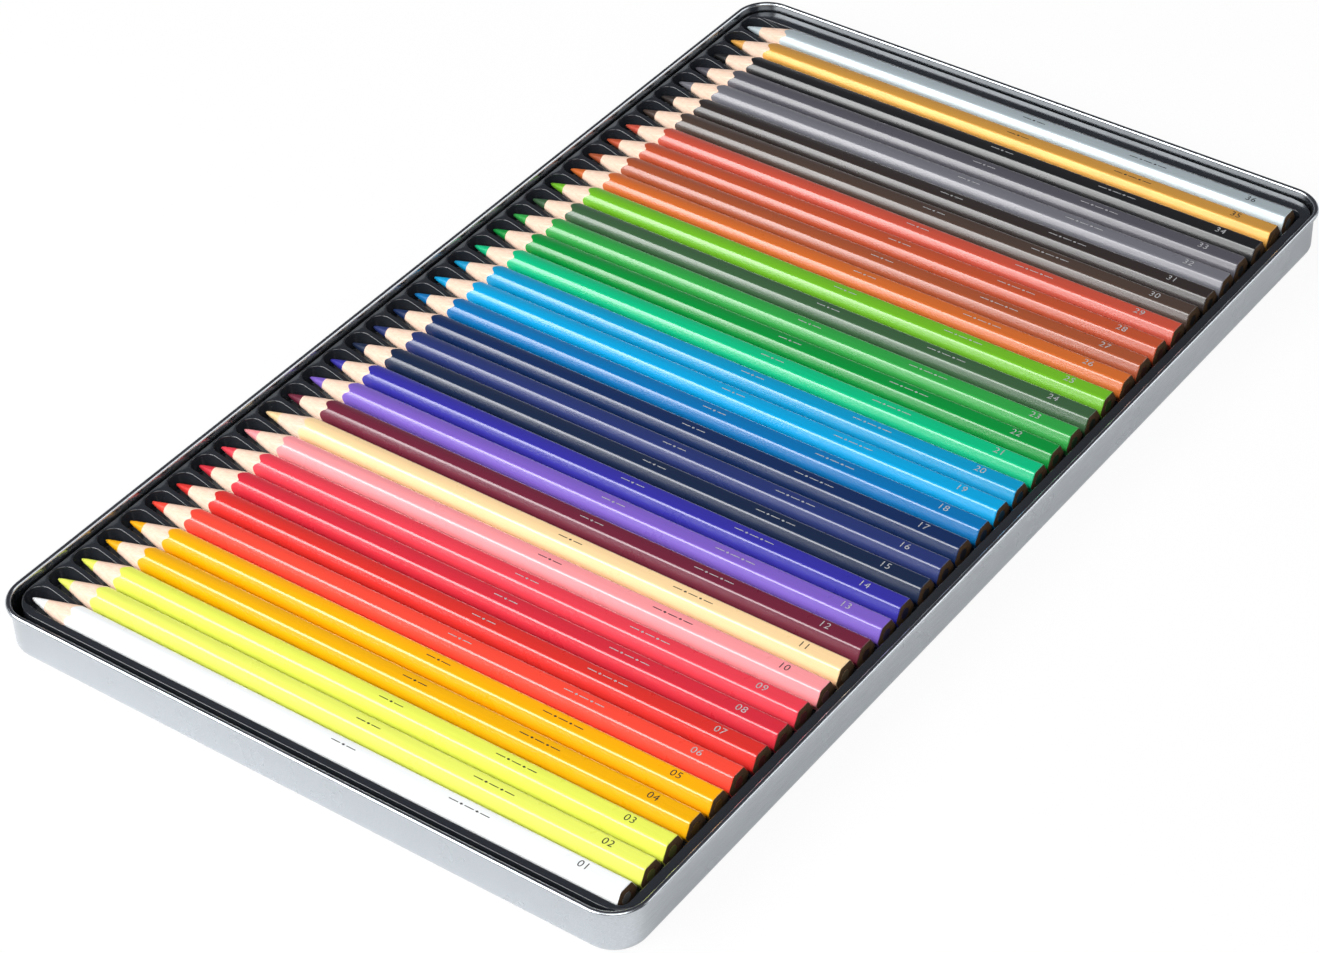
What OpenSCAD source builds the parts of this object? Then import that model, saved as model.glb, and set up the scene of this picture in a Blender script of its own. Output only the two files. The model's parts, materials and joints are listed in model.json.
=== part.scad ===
// Pencil tin: a pressed metal tray that holds a formed plastic insert and a row of hexagonal
// colored pencils. Every pencil lies in a channel of its own and lifts straight out.
// X runs along the row, Y from the blunt ends to the points, Z up. The origin is the middle
// of the tray's underside.

/* [Tin] */
// Length over the rolled rim
tin_length = 322; // [320:1:360]
// Width over the rolled rim
tin_width = 186; // [185:1:215]
// Height to the top of the rim
tin_height = 13.5; // [13:0.5:18]
// Thickness of the sheet metal
sheet = 0.4; // [0.3:0.05:0.6]
// Radius of the vertical corners, over the rim
corner_radius = 10; // [8:0.5:14]
// Outer radius of the pressed edge round the floor
base_radius = 2.3; // [1.5:0.1:4]
// Outer radius of the rolled rim
rim_radius = 0.75; // [0.7:0.05:1.2]
// Angle that the rim is rolled through, from the wall round to its free edge
rim_roll = 290; // [220:5:300]

/* [Insert] */
// Thickness of the formed plastic
insert_skin = 0.6; // [0.4:0.1:0.8]
// Clearance between the insert and the tin's walls
insert_clearance = 0.5; // [0.3:0.1:1]
// Clearance between the foot of the insert's skirt and the bend that it stands on
skirt_clearance = 0.2; // [0.1:0.05:0.3]
// Radius of the flange's outer edge
edge_round = 0.5; // [0.3:0.05:0.6]
// Extra length that the tin leaves in front of the insert, beside the first pencil
front_gap = 2.4; // [0:0.1:3]
// Least room at each end of the row, for the flange and the gap in front of it
end_margin = 4; // [3.6:0.1:5]
// Depth of the insert's flange below the tin's rim
flange_drop = 2.5; // [1.5:0.1:3.5]
// Height of the ribs between the pencils, above the channel floor
rib_height = 1.9; // [1:0.1:2.2]
// Width of a channel between its ribs
channel_width = 7; // [6.8:0.1:7.4]
// Room past the point of a pencil, to the rounded end of its channel
point_room = 1.1; // [0.8:0.1:1.6]
// Room past the blunt ends, where the channels run into one cross trough
end_room = 2.3; // [1.5:0.1:3]
// Length by which the ribs stop short of the blunt ends
rib_setback = 1.8; // [1:0.1:4]
// Length over which the ribs rise to the flange at the points
rib_ramp = 12; // [8:0.5:13]
// Radius of the insert's upright corners in the cross trough
trough_corner = 2.5; // [1.5:0.25:4]

/* [Pencils] */
// Number of pencils that the row may hold, if the tin is long enough for them
pencil_count = 36; // [24:1:36]
// Distance between neighbouring pencils
pencil_pitch = 8.58; // [8.5:0.01:8.62]
// Length of a pencil
pencil_length = 175; // [165:1:176]
// Width of a pencil across its flats
pencil_flats = 7; // [6.8:0.05:7.1]
// Distance from the pencil's axis to its rounded long edges
pencil_edge = 3.88; // [3.7:0.01:3.95]
// Diameter of the colored core
core_diameter = 3; // [2:0.1:3.8]
// Glue gap round the core
core_gap = 0.05; // [0.03:0.01:0.1]
// Half of the angle of the sharpened point
point_angle = 13.5; // [11:0.5:16]
// Radius of the worn tip of the core
tip_radius = 0.35; // [0.2:0.05:0.6]
// Depth of the pencils' tops below the tin's rim
pencil_drop = 0.8; // [0:0.1:1.2]
// Clearance between a pencil and the floor of its channel
seat_clearance = 0.05; // [0.02:0.01:0.1]
// Clearance between the outer pencils and the insert's flange
side_clearance = 0.35; // [0.3:0.05:0.5]
// How far a pencil may have slid along its channel
slide_play = 0.5; // [0:0.1:0.6]

/* [Hidden] */
$fn = 48;
OVERSHOOT = 1;

// Each pencil's name and color, from the front of the row to the back.
PENCILS = [
    ["white", "white"],
    ["lemon", "#eef06a"],
    ["yellow", "#fbe84a"],
    ["chrome_yellow", "gold"],
    ["orange", "darkorange"],
    ["vermilion", "orangered"],
    ["red", "red"],
    ["crimson", "crimson"],
    ["carmine", "#c4163c"],
    ["pink", "#f0457e"],
    ["blush", "peachpuff"],
    ["magenta", "#a01858"],
    ["lilac", "#b094cc"],
    ["violet", "#4a2f86"],
    ["prussian_blue", "#12305e"],
    ["ultramarine", "#22358e"],
    ["navy", "navy"],
    ["mid_blue", "#1c5cb0"],
    ["sky_blue", "deepskyblue"],
    ["light_blue", "#3fa8d8"],
    ["emerald", "#009c80"],
    ["green", "#128a3e"],
    ["light_green", "#46a850"],
    ["grey_green", "#3f5c46"],
    ["moss", "#94961e"],
    ["ochre", "#c07a22"],
    ["brown", "#9a5428"],
    ["sienna", "sienna"],
    ["indian_red", "#9c4038"],
    ["umber", "#5a3426"],
    ["dark_brown", "#3e2a22"],
    ["grey", "#83878c"],
    ["dark_grey", "#505357"],
    ["black", "#1c1c1e"],
    ["gold", "goldenrod"],
    ["silver", "silver"]
];

function pad2(n) = n < 10 ? str("0", n) : str(n);
function pencil_node(i) = str("pencil_", pad2(i + 1), "_", PENCILS[i][0]);

// The tin's wall, measured out from the middle of each rounded corner.
wall_inner = corner_radius - 2 * rim_radius;
wall_outer = wall_inner + sheet;
base_bend = wall_outer - base_radius;
rim_axis = corner_radius - rim_radius;
rim_axis_z = tin_height - rim_radius;

// The room inside the tin's walls.
inside_length = tin_length - 4 * rim_radius;
inside_width = tin_width - 4 * rim_radius;

// The row holds as many pencils as the tin has room for.
end_room_x = insert_clearance + end_margin + side_clearance + pencil_edge;
row_count = min(pencil_count, 1 + floor((inside_length - 2 * end_room_x) / pencil_pitch));

// The pencils, and the channel floor that they lie on.
pencil_top = tin_height - pencil_drop;
pencil_axis_z = pencil_top - pencil_flats / 2;
channel_floor = pencil_top - pencil_flats - seat_clearance;
point_y = inside_width / 2 - insert_clearance - insert_skin - point_room;
row_first_x = -pencil_pitch * (row_count - 1) / 2;
blunt_y = point_y - pencil_length;
hexagon_corner = pencil_flats / 2 / cos(30);

// The insert, from its outer edges inward.
insert_front = -inside_length / 2 + insert_clearance + front_gap;
insert_back = inside_length / 2 - insert_clearance;
insert_side = inside_width / 2 - insert_clearance;
insert_corner = wall_inner - insert_clearance;
flange_top = tin_height - flange_drop;

// The skirt stands on the inner side of the tin's pressed edge, where that has begun to rise.
bend_inner = base_radius - sheet;
skirt_reach = max(0, bend_inner - insert_clearance);
skirt_foot = base_radius - sqrt(pow(bend_inner, 2) - pow(skirt_reach, 2)) + skirt_clearance;

// The pocket for the pencils.
rib_top = channel_floor + rib_height;
pocket_side = -row_first_x + pencil_edge + side_clearance;
trough_start = blunt_y - end_room;
rib_start = blunt_y + rib_setback;
channel_end = point_y + point_room - channel_width / 2;

function pencil_x(i) = row_first_x + i * pencil_pitch;

// Pencils that have been taken out and put back never lie quite level with each other.
function pencil_shift(i) = -slide_play * abs(sin(67 * i + 20));

// Bends a profile, drawn with X outward from the corner's middle and Y up, round the tin.
module sweep_round(length, width, radius) {
    half_x = length / 2 - radius;
    half_y = width / 2 - radius;
    corners = [[half_x, half_y, 0], [-half_x, half_y, 90],
               [-half_x, -half_y, 180], [half_x, -half_y, 270]];
    for (c = corners)
        translate([c.x, c.y, 0])
            rotate([0, 0, c.z])
                rotate_extrude(angle = 90)
                    children();
    for (side = [0, 180]) {
        rotate([0, 0, side])
            translate([half_x, half_y, 0])
                rotate([90, 0, 0])
                    linear_extrude(2 * half_y)
                        children();
        rotate([0, 0, side + 90])
            translate([half_y, half_x, 0])
                rotate([90, 0, 0])
                    linear_extrude(2 * half_x)
                        children();
    }
}

// A quarter or more of a flat ring, from one angle to another.
module ring_part(outer, inner, from, to) {
    reach = 2 * outer;
    steps = 8;
    intersection() {
        difference() {
            circle(outer);
            circle(inner);
        }
        polygon(concat([[0, 0]],
                       [for (k = [0 : steps])
                           let (a = from + (to - from) * k / steps)
                           reach * [cos(a), sin(a)]]));
    }
}

// The tin's section: half floor, pressed base edge, wall and rolled rim.
module tin_section() {
    square([base_bend, sheet]);
    translate([base_bend, base_radius])
        ring_part(base_radius, base_radius - sheet, -90, 0);
    translate([wall_inner, base_radius])
        square([sheet, rim_axis_z - base_radius]);
    translate([rim_axis, rim_axis_z])
        ring_part(rim_radius, rim_radius - sheet, 180 - rim_roll, 180);
}

module tin_tray() {
    color("silver") {
        sweep_round(tin_length, tin_width, corner_radius)
            tin_section();
        floor_length = tin_length - 2 * corner_radius;
        floor_width = tin_width - 2 * corner_radius;
        translate([-floor_length / 2, -floor_width / 2, 0])
            cube([floor_length, floor_width, sheet]);
    }
}

// A rectangle with rounded corners, given by its four sides.
module rounded_area(x0, x1, y0, y1, radius) {
    translate([x0 + radius, y0])
        square([x1 - x0 - 2 * radius, y1 - y0]);
    translate([x0, y0 + radius])
        square([x1 - x0, y1 - y0 - 2 * radius]);
    for (x = [x0 + radius, x1 - radius], y = [y0 + radius, y1 - radius])
        translate([x, y])
            circle(radius);
}

// The insert's outline, drawn in by a margin.
module insert_outline(margin) {
    rounded_area(insert_front + margin, insert_back - margin,
                 -insert_side + margin, insert_side - margin, insert_corner - margin);
}

// Side view of the room over the ribs: the cross trough, the low ribs and their ramp.
module pocket_section() {
    top = flange_top + OVERSHOOT;
    polygon([
        [trough_start, top],
        [trough_start, channel_floor],
        [rib_start, channel_floor],
        [rib_start, rib_top],
        [channel_end - rib_ramp, rib_top],
        [channel_end, flange_top],
        [channel_end, top]
    ]);
}

// The room that the pencils' bodies share, above the ribs.
module shared_pocket() {
    intersection() {
        translate([-pocket_side, 0, 0])
            rotate([90, 0, 90])
                linear_extrude(2 * pocket_side)
                    pocket_section();
        translate([0, 0, channel_floor])
            linear_extrude(tin_height)
                rounded_area(-pocket_side, pocket_side, trough_start,
                             insert_side + trough_corner, trough_corner);
    }
}

// One channel between two ribs, with a round end past the pencil's point.
module channel(i) {
    translate([pencil_x(i), 0, channel_floor])
        linear_extrude(tin_height) {
            translate([-channel_width / 2, rib_start - OVERSHOOT])
                square([channel_width, channel_end - rib_start + OVERSHOOT]);
            translate([0, channel_end])
                circle(channel_width / 2);
        }
}

module insert_tray() {
    color("#26282c")
        difference() {
            translate([0, 0, skirt_foot])
                linear_extrude(flange_top - skirt_foot)
                    insert_outline(0);
            insert_edge_cut();
            shared_pocket();
            for (i = [0 : row_count - 1])
                channel(i);
            insert_underside();
        }
}

// What is taken off to round the flange's outer edge.
module insert_edge_cut() {
    translate([(insert_front + insert_back) / 2, 0, 0])
        sweep_round(insert_back - insert_front, 2 * insert_side, insert_corner)
            translate([insert_corner - edge_round, flange_top - edge_round])
                difference() {
                    square(edge_round + OVERSHOOT);
                    circle(edge_round);
                }
}

// The hollow under the insert: open below the channel floor and up behind the flange.
module insert_underside() {
    floor_under = channel_floor - insert_skin;
    flange_under = flange_top - insert_skin;
    block_side = pocket_side + insert_skin;
    translate([0, 0, skirt_foot - OVERSHOOT])
        linear_extrude(floor_under - skirt_foot + OVERSHOOT)
            insert_outline(insert_skin);
    translate([0, 0, floor_under - OVERSHOOT])
        linear_extrude(flange_under - floor_under + OVERSHOOT)
            difference() {
                insert_outline(insert_skin);
                translate([-block_side, trough_start - insert_skin])
                    square([2 * block_side, inside_width]);
            }
}

// The sharpened point, as the cone that the sharpener leaves, drawn with Z toward the tip.
module sharpened_cone() {
    worn_off = tip_radius / tan(point_angle);
    cone_length = OVERSHOOT + pencil_length + worn_off;
    translate([0, 0, -OVERSHOOT])
        cylinder(h = cone_length, r1 = cone_length * tan(point_angle), r2 = 0);
}

// The casing's section, drawn with a flat at the top: a hexagon with its corners rounded off.
module pencil_section() {
    intersection() {
        circle(hexagon_corner, $fn = 6);
        circle(pencil_edge);
    }
}

// One pencil, lying flat side up: a cored wooden casing and its core.
module pencil(i) {
    core_radius = core_diameter / 2;
    translate([pencil_x(i), blunt_y + pencil_shift(i), pencil_axis_z])
        rotate([-90, 0, 0])
            color(PENCILS[i][1]) {
                intersection() {
                    difference() {
                        linear_extrude(pencil_length)
                            pencil_section();
                        translate([0, 0, -OVERSHOOT])
                            cylinder(h = pencil_length + 2 * OVERSHOOT, r = core_radius + core_gap);
                    }
                    sharpened_cone();
                }
                intersection() {
                    cylinder(h = pencil_length, r = core_radius);
                    sharpened_cone();
                }
            }
}

tin_tray();
insert_tray();
for (i = [0 : row_count - 1])
    pencil(i);
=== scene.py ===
# %% [markdown]
# # A tin of thirty-six colored pencils
# The tin is one pressed sheet of metal with a rolled rim. A glossy black tray, formed from one sheet
# of plastic, stands in it, and every pencil lies in a channel of its own. The construction comes as a
# frame of plain solids, each on the body that it moves with. This lesson gives each of them its
# finish. Places and outer sizes are read from the frame. The thicknesses, the roundings and the
# surfaces are set here.

# %% Load the frame
import json
import math
import bmesh
import bpy
from mathutils import Matrix, Vector

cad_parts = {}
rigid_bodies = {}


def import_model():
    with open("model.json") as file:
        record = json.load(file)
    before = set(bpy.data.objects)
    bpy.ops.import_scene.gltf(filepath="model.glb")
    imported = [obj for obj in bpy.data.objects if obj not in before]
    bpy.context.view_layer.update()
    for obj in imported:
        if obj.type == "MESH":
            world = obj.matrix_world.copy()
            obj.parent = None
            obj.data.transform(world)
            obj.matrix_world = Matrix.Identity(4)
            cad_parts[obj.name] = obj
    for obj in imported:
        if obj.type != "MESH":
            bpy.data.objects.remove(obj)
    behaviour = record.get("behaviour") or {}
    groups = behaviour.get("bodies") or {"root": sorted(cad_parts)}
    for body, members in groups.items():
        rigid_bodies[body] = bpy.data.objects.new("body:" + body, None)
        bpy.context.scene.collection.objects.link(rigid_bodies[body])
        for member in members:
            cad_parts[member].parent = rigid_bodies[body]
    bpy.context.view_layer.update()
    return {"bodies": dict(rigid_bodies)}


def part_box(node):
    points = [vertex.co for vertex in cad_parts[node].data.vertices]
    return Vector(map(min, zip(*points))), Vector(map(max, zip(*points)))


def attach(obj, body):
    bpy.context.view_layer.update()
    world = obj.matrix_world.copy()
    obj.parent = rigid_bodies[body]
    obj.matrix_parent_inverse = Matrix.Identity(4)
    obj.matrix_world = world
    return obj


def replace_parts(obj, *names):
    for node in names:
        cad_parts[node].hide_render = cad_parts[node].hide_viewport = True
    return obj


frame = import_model()
MM = 0.001

# %% [markdown]
# ## The camera
# The tin is seen from above its front left corner through a long lens, so its sides stay almost
# parallel. The view is given as a direction, a small roll and the distance along that direction.
# Building the rotation from those three says more than a table of angles would.

# %% Set up the camera
VIEW_AZIMUTH = math.radians(-53.2845)
VIEW_ELEVATION = math.radians(39.5383)
VIEW_ROLL = math.radians(-1.7669)
LENS = 100.72
CAMERA_ACROSS = -10.695 * MM
CAMERA_UP = -11.559 * MM
CAMERA_BACK = 937.1 * MM
SENSOR_WIDTH = 36
NEAREST, FARTHEST = 0.01, 50


def camera_axes(azimuth, elevation, roll):
    """Right, up and back of a camera that looks at the origin from a direction."""
    back = Vector((math.sin(azimuth) * math.cos(elevation),
                   -math.cos(azimuth) * math.cos(elevation),
                   math.sin(elevation)))
    level_right = Vector((0, 0, 1)).cross(back).normalized()
    level_up = back.cross(level_right)
    right = level_right * math.cos(roll) + level_up * math.sin(roll)
    up = level_up * math.cos(roll) - level_right * math.sin(roll)
    return right, up, back


right, up, back = camera_axes(VIEW_AZIMUTH, VIEW_ELEVATION, VIEW_ROLL)
camera_data = bpy.data.cameras.new("camera")
camera_data.sensor_width = SENSOR_WIDTH
camera_data.lens = LENS
camera_data.clip_start = NEAREST
camera_data.clip_end = FARTHEST
camera = bpy.data.objects.new("camera", camera_data)
camera.matrix_world = Matrix((right, up, back)).transposed().to_4x4()
camera.location = right * CAMERA_ACROSS + up * CAMERA_UP + back * CAMERA_BACK
bpy.context.scene.collection.objects.link(camera)
bpy.context.scene.camera = camera
bpy.context.scene.view_settings.view_transform = "Standard"
print("camera at", [round(v, 3) for v in camera.location])

# %% [markdown]
# ## Helpers for building meshes
# Every piece here is a skin over a few rows of points: a profile carried round a path, or rings along
# an axis. A small gatherer keeps the points and faces of a piece and makes one closed mesh of them at
# the end. Lands and floors stay flat shaded, and the roundings between them are smooth.


# %% A gatherer for points and faces
SAME_PLACE = 1e-6
NO_LENGTH = 1e-7
SHARP_FROM = math.radians(50)


class Shape:
    """The points and faces of one piece while it is built."""

    def __init__(self):
        self.points = []
        self.faces = []
        self.looks = []

    def row(self, points):
        first = len(self.points)
        self.points.extend(Vector(p) for p in points)
        return list(range(first, len(self.points)))

    def face(self, corners, material=0, smooth=False):
        self.faces.append(tuple(corners))
        self.looks.append((material, smooth))

    def skin(self, a, b, material=0, smooth=True, closed=False):
        """Quads between two rows of equal length."""
        count = len(a)
        for k in range(count if closed else count - 1):
            n = (k + 1) % count
            self.face((a[k], a[n], b[n], b[k]), material, smooth)

    def skins(self, rows, material=0, smooth=True, closed=False):
        for a, b in zip(rows, rows[1:]):
            self.skin(a, b, material, smooth, closed)

    def piece(self, name, materials, flat=False):
        """A mesh object with its doubled points joined. Only a flat piece may have open edges."""
        mesh = bpy.data.meshes.new(name)
        mesh.from_pydata(self.points, [], self.faces)
        for polygon, (material, smooth) in zip(mesh.polygons, self.looks):
            polygon.material_index = material
            polygon.use_smooth = smooth
        made = bmesh.new()
        made.from_mesh(mesh)
        bmesh.ops.remove_doubles(made, verts=made.verts, dist=SAME_PLACE)
        bmesh.ops.dissolve_degenerate(made, edges=made.edges, dist=NO_LENGTH)
        bmesh.ops.recalc_face_normals(made, faces=made.faces)
        open_edges = sum(1 for e in made.edges if not e.is_manifold)
        made.to_mesh(mesh)
        made.free()
        mesh.set_sharp_from_angle(angle=SHARP_FROM)
        for material in materials:
            mesh.materials.append(material)
        made_object = bpy.data.objects.new(name, mesh)
        bpy.context.scene.collection.objects.link(made_object)
        if open_edges and not flat:
            print(name, "has", open_edges, "open edges")
        return made_object


def arc(centre, radius, start, end, steps):
    """Points of a circle in a plane, with the angles in degrees."""
    angles = [math.radians(start + (end - start) * k / steps) for k in range(steps + 1)]
    return [(centre[0] + radius * math.cos(a), centre[1] + radius * math.sin(a)) for a in angles]


# %% [markdown]
# ## Helpers for materials
# A material is a Principled shader with a few textures in front of it. Effects that several finishes
# share, such as a long grain or a sprinkle of dust, are node groups: they are built once, and each
# material sets its own values on them.

# %% Node helpers


def add_group(name, inputs, outputs):
    """An empty shader group with named number, colour and vector sockets."""
    tree = bpy.data.node_groups.new(name, "ShaderNodeTree")
    kinds = {"number": "NodeSocketFloat", "colour": "NodeSocketColor", "vector": "NodeSocketVector"}
    for label, kind, value in inputs:
        socket = tree.interface.new_socket(label, in_out="INPUT", socket_type=kinds[kind])
        if value is not None:
            socket.default_value = value
    for label, kind in outputs:
        tree.interface.new_socket(label, in_out="OUTPUT", socket_type=kinds[kind])
    return tree, tree.nodes.new("NodeGroupInput"), tree.nodes.new("NodeGroupOutput")


def place(tree, kind, values=None, links=None, **settings):
    """Adds a node, sets its options and values, and links sockets into it."""
    node = tree.nodes.new(kind)
    for key, value in settings.items():
        setattr(node, key, value)
    for key, value in (values or {}).items():
        node.inputs[key].default_value = value
    for key, socket in (links or {}).items():
        tree.links.new(socket, node.inputs[key])
    return node


def use_group(tree, group, values=None, links=None):
    """Places a shared group in a material with that material's own values."""
    return place(tree, "ShaderNodeGroup", values, links, node_tree=group)


def new_material(name, **settings):
    """A material with its Principled shader, and object coordinates to feed its textures."""
    material = bpy.data.materials.new(name)
    material.use_nodes = True
    tree = material.node_tree
    shader = tree.nodes["Principled BSDF"]
    for key, value in settings.items():
        shader.inputs[key.replace("_", " ")].default_value = value
    where = tree.nodes.new("ShaderNodeTexCoord").outputs["Object"]
    return material, tree, shader, where


def colour_mix(tree, factor, first, second):
    """A colour between two others: each may be a colour or a socket."""
    mix = place(tree, "ShaderNodeMix", data_type="RGBA")
    for socket, value in ((mix.inputs["Factor"], factor), (mix.inputs["A"], first),
                          (mix.inputs["B"], second)):
        if hasattr(value, "is_output"):
            tree.links.new(value, socket)
        else:
            socket.default_value = value
    return mix.outputs["Result"]


def paint_colour(hexadecimal):
    """The scene's linear colour for a colour written as six hexadecimal digits."""
    parts = [int(hexadecimal[k:k + 2], 16) / 255 for k in (0, 2, 4)]
    linear = [v / 12.92 if v <= 0.04045 else ((v + 0.055) / 1.055) ** 2.4 for v in parts]
    return (*linear, 1.0)


def shade(colour, factor, lift=0.0):
    """A colour made darker by a factor, and paler by what is then added to it."""
    return [v * factor + lift for v in colour[:3]] + [1]


# %% [markdown]
# ## Three shared surface effects
# *Long grain* is a noise pulled out along one direction: the fibres of cedar, the faint ripple of
# wood under lacquer and the rolling marks of sheet metal are all of this kind. *Dust* is a thin
# scatter of small specks. *Soft wear* is a cloudy mask that keeps a gloss from being even all over.

# %% Build the shared groups


def long_grain_group():
    tree, put, out = add_group(
        "Long grain",
        [("Vector", "vector", None), ("Stretch", "vector", (1, 1, 1)), ("Scale", "number", 1000.0),
         ("Contrast", "number", 2.0)],
        [("Mask", "number"), ("Height", "number")])
    pulled = place(tree, "ShaderNodeVectorMath", operation="MULTIPLY",
                   links={0: put.outputs["Vector"], 1: put.outputs["Stretch"]})
    noise = place(tree, "ShaderNodeTexNoise", {"Detail": 5.0, "Roughness": 0.6},
                  {"Vector": pulled.outputs[0], "Scale": put.outputs["Scale"]})
    centred = place(tree, "ShaderNodeMath", {1: 0.5}, {0: noise.outputs["Fac"]},
                    operation="SUBTRACT")
    spread = place(tree, "ShaderNodeMath", {2: 0.5},
                   {0: centred.outputs[0], 1: put.outputs["Contrast"]},
                   operation="MULTIPLY_ADD", use_clamp=True)
    tree.links.new(spread.outputs[0], out.inputs["Mask"])
    tree.links.new(noise.outputs["Fac"], out.inputs["Height"])
    return tree


def dust_group():
    tree, put, out = add_group(
        "Dust",
        [("Vector", "vector", None), ("Scale", "number", 900.0), ("Speck", "number", 0.12),
         ("Share", "number", 0.2)],
        [("Mask", "number")])
    cells = place(tree, "ShaderNodeTexVoronoi", {"Randomness": 1.0},
                  {"Vector": put.outputs["Vector"], "Scale": put.outputs["Scale"]})
    near = place(tree, "ShaderNodeMath", links={0: cells.outputs["Distance"],
                                                1: put.outputs["Speck"]}, operation="LESS_THAN")
    chance = place(tree, "ShaderNodeSeparateColor", links={0: cells.outputs["Color"]})
    some = place(tree, "ShaderNodeMath", links={0: chance.outputs[0], 1: put.outputs["Share"]},
                 operation="LESS_THAN")
    both = place(tree, "ShaderNodeMath", links={0: near.outputs[0], 1: some.outputs[0]},
                 operation="MULTIPLY")
    tree.links.new(both.outputs[0], out.inputs["Mask"])
    return tree


def soft_wear_group():
    tree, put, out = add_group(
        "Soft wear",
        [("Vector", "vector", None), ("Scale", "number", 60.0), ("Low", "number", 0.2),
         ("High", "number", 0.3)],
        [("Value", "number"), ("Height", "number")])
    clouds = place(tree, "ShaderNodeTexNoise", {"Detail": 4.0, "Roughness": 0.55},
                   {"Vector": put.outputs["Vector"], "Scale": put.outputs["Scale"]})
    between = place(tree, "ShaderNodeMapRange", {"From Min": 0.3, "From Max": 0.7},
                    {"Value": clouds.outputs["Fac"], "To Min": put.outputs["Low"],
                     "To Max": put.outputs["High"]})
    tree.links.new(between.outputs[0], out.inputs["Value"])
    tree.links.new(clouds.outputs["Fac"], out.inputs["Height"])
    return tree


LONG_GRAIN = long_grain_group()
DUST = dust_group()
SOFT_WEAR = soft_wear_group()
print("groups:", [g.name for g in (LONG_GRAIN, DUST, SOFT_WEAR)])

# %% [markdown]
# ## Tinplate
# The tin is bare steel sheet with a satin finish. It is a full metal, a little rough, and its rolling
# marks run along the sheet as a very fine ripple. Softer clouds in the roughness stand for handling.

# %% Make the tinplate


def tinplate_material():
    material, tree, shader, where = new_material("tinplate", Metallic=1.0)
    grain = use_group(tree, LONG_GRAIN, {"Stretch": (0.06, 1, 1), "Scale": 2600.0,
                                         "Contrast": 2.2}, {"Vector": where})
    handled = use_group(tree, SOFT_WEAR, {"Scale": 45.0, "Low": 0.22, "High": 0.30},
                        {"Vector": where})
    colour = colour_mix(tree, grain.outputs["Mask"], paint_colour("B3B8BD"), paint_colour("C3C8CC"))
    tree.links.new(colour, shader.inputs["Base Color"])
    tree.links.new(handled.outputs["Value"], shader.inputs["Roughness"])
    ripple = place(tree, "ShaderNodeBump", {"Strength": 0.12, "Distance": 0.00005},
                   {"Height": grain.outputs["Height"]})
    dents = place(tree, "ShaderNodeBump", {"Strength": 0.04, "Distance": 0.0003},
                  {"Height": handled.outputs["Height"], "Normal": ripple.outputs[0]})
    tree.links.new(dents.outputs[0], shader.inputs["Normal"])
    return material


TINPLATE = tinplate_material()

# %% [markdown]
# ## Press the tin
# The tin's section is a floor, a rounded lower edge, an upright wall and a rim that is rolled outward
# and under. Carried round a rounded rectangle, that one section makes the whole tin. A sweep in code
# keeps every rounding exact and needs no modifier.

# %% Carry a section round a rounded rectangle
CORNER_STEPS = 16


def tour(half_x, half_y, radius):
    """Stations round a rounded rectangle: the middle of the corner and the way out from it."""
    stations = []
    corners = ((1, 1, 0), (-1, 1, 90), (-1, -1, 180), (1, -1, 270))
    for side_x, side_y, start in corners:
        middle = Vector((side_x * (half_x - radius), side_y * (half_y - radius), 0))
        for k in range(CORNER_STEPS + 1):
            angle = math.radians(start + 90 * k / CORNER_STEPS)
            stations.append((middle, Vector((math.cos(angle), math.sin(angle), 0))))
    return stations


def sweep(shape, stations, profile):
    """Carries a profile of (outward, height) points round the stations. Returns a row per point."""
    rows = []
    for outward, height in profile:
        rows.append(shape.row(middle + way * outward + Vector((0, 0, height))
                              for middle, way in stations))
    shape.skins(rows, closed=True)
    return rows


# %% Build the tin
tin_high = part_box("tin_tray")[1]
TIN_CORNER = 10 * MM
SHEET = 0.4 * MM
RIM_RADIUS = 0.75 * MM
BASE_RADIUS = 2.3 * MM
RIM_END = -110
WALL_SUPPORT = 0.3 * MM


def build_tin():
    height = tin_high.z
    wall_out = TIN_CORNER - 2 * RIM_RADIUS + SHEET
    base_axis = (wall_out - BASE_RADIUS, BASE_RADIUS)
    rim_axis = (TIN_CORNER - RIM_RADIUS, height - RIM_RADIUS)
    wall_low = BASE_RADIUS + WALL_SUPPORT
    wall_high = rim_axis[1] - WALL_SUPPORT
    profile = arc(base_axis, BASE_RADIUS - SHEET, -90, 0, steps=8)
    profile += [(wall_out - SHEET, wall_low), (wall_out - SHEET, wall_high)]
    profile += arc(rim_axis, RIM_RADIUS, 180, RIM_END, steps=26)
    profile += arc(rim_axis, RIM_RADIUS - SHEET, RIM_END, 180, steps=20)
    profile += [(wall_out, wall_high), (wall_out, wall_low)]
    profile += arc(base_axis, BASE_RADIUS, 0, -90, steps=10)
    shape = Shape()
    rows = sweep(shape, tour(tin_high.x, tin_high.y, TIN_CORNER), profile)
    shape.face(rows[0])
    shape.face(rows[-1])
    tin = shape.piece("pressed_tin", [TINPLATE])
    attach(tin, "tin")
    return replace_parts(tin, "tin_tray")


pressed_tin = build_tin()
print("tin:", [round(v * 1000, 1) for v in pressed_tin.dimensions])

# %% [markdown]
# ## Black plastic
# The tray is formed from one glossy black sheet. Its colour is nearly black, so almost everything that
# shows on it is a reflection, and a few specks of dust and soft changes in the gloss make it real.

# %% Make the black plastic


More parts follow.
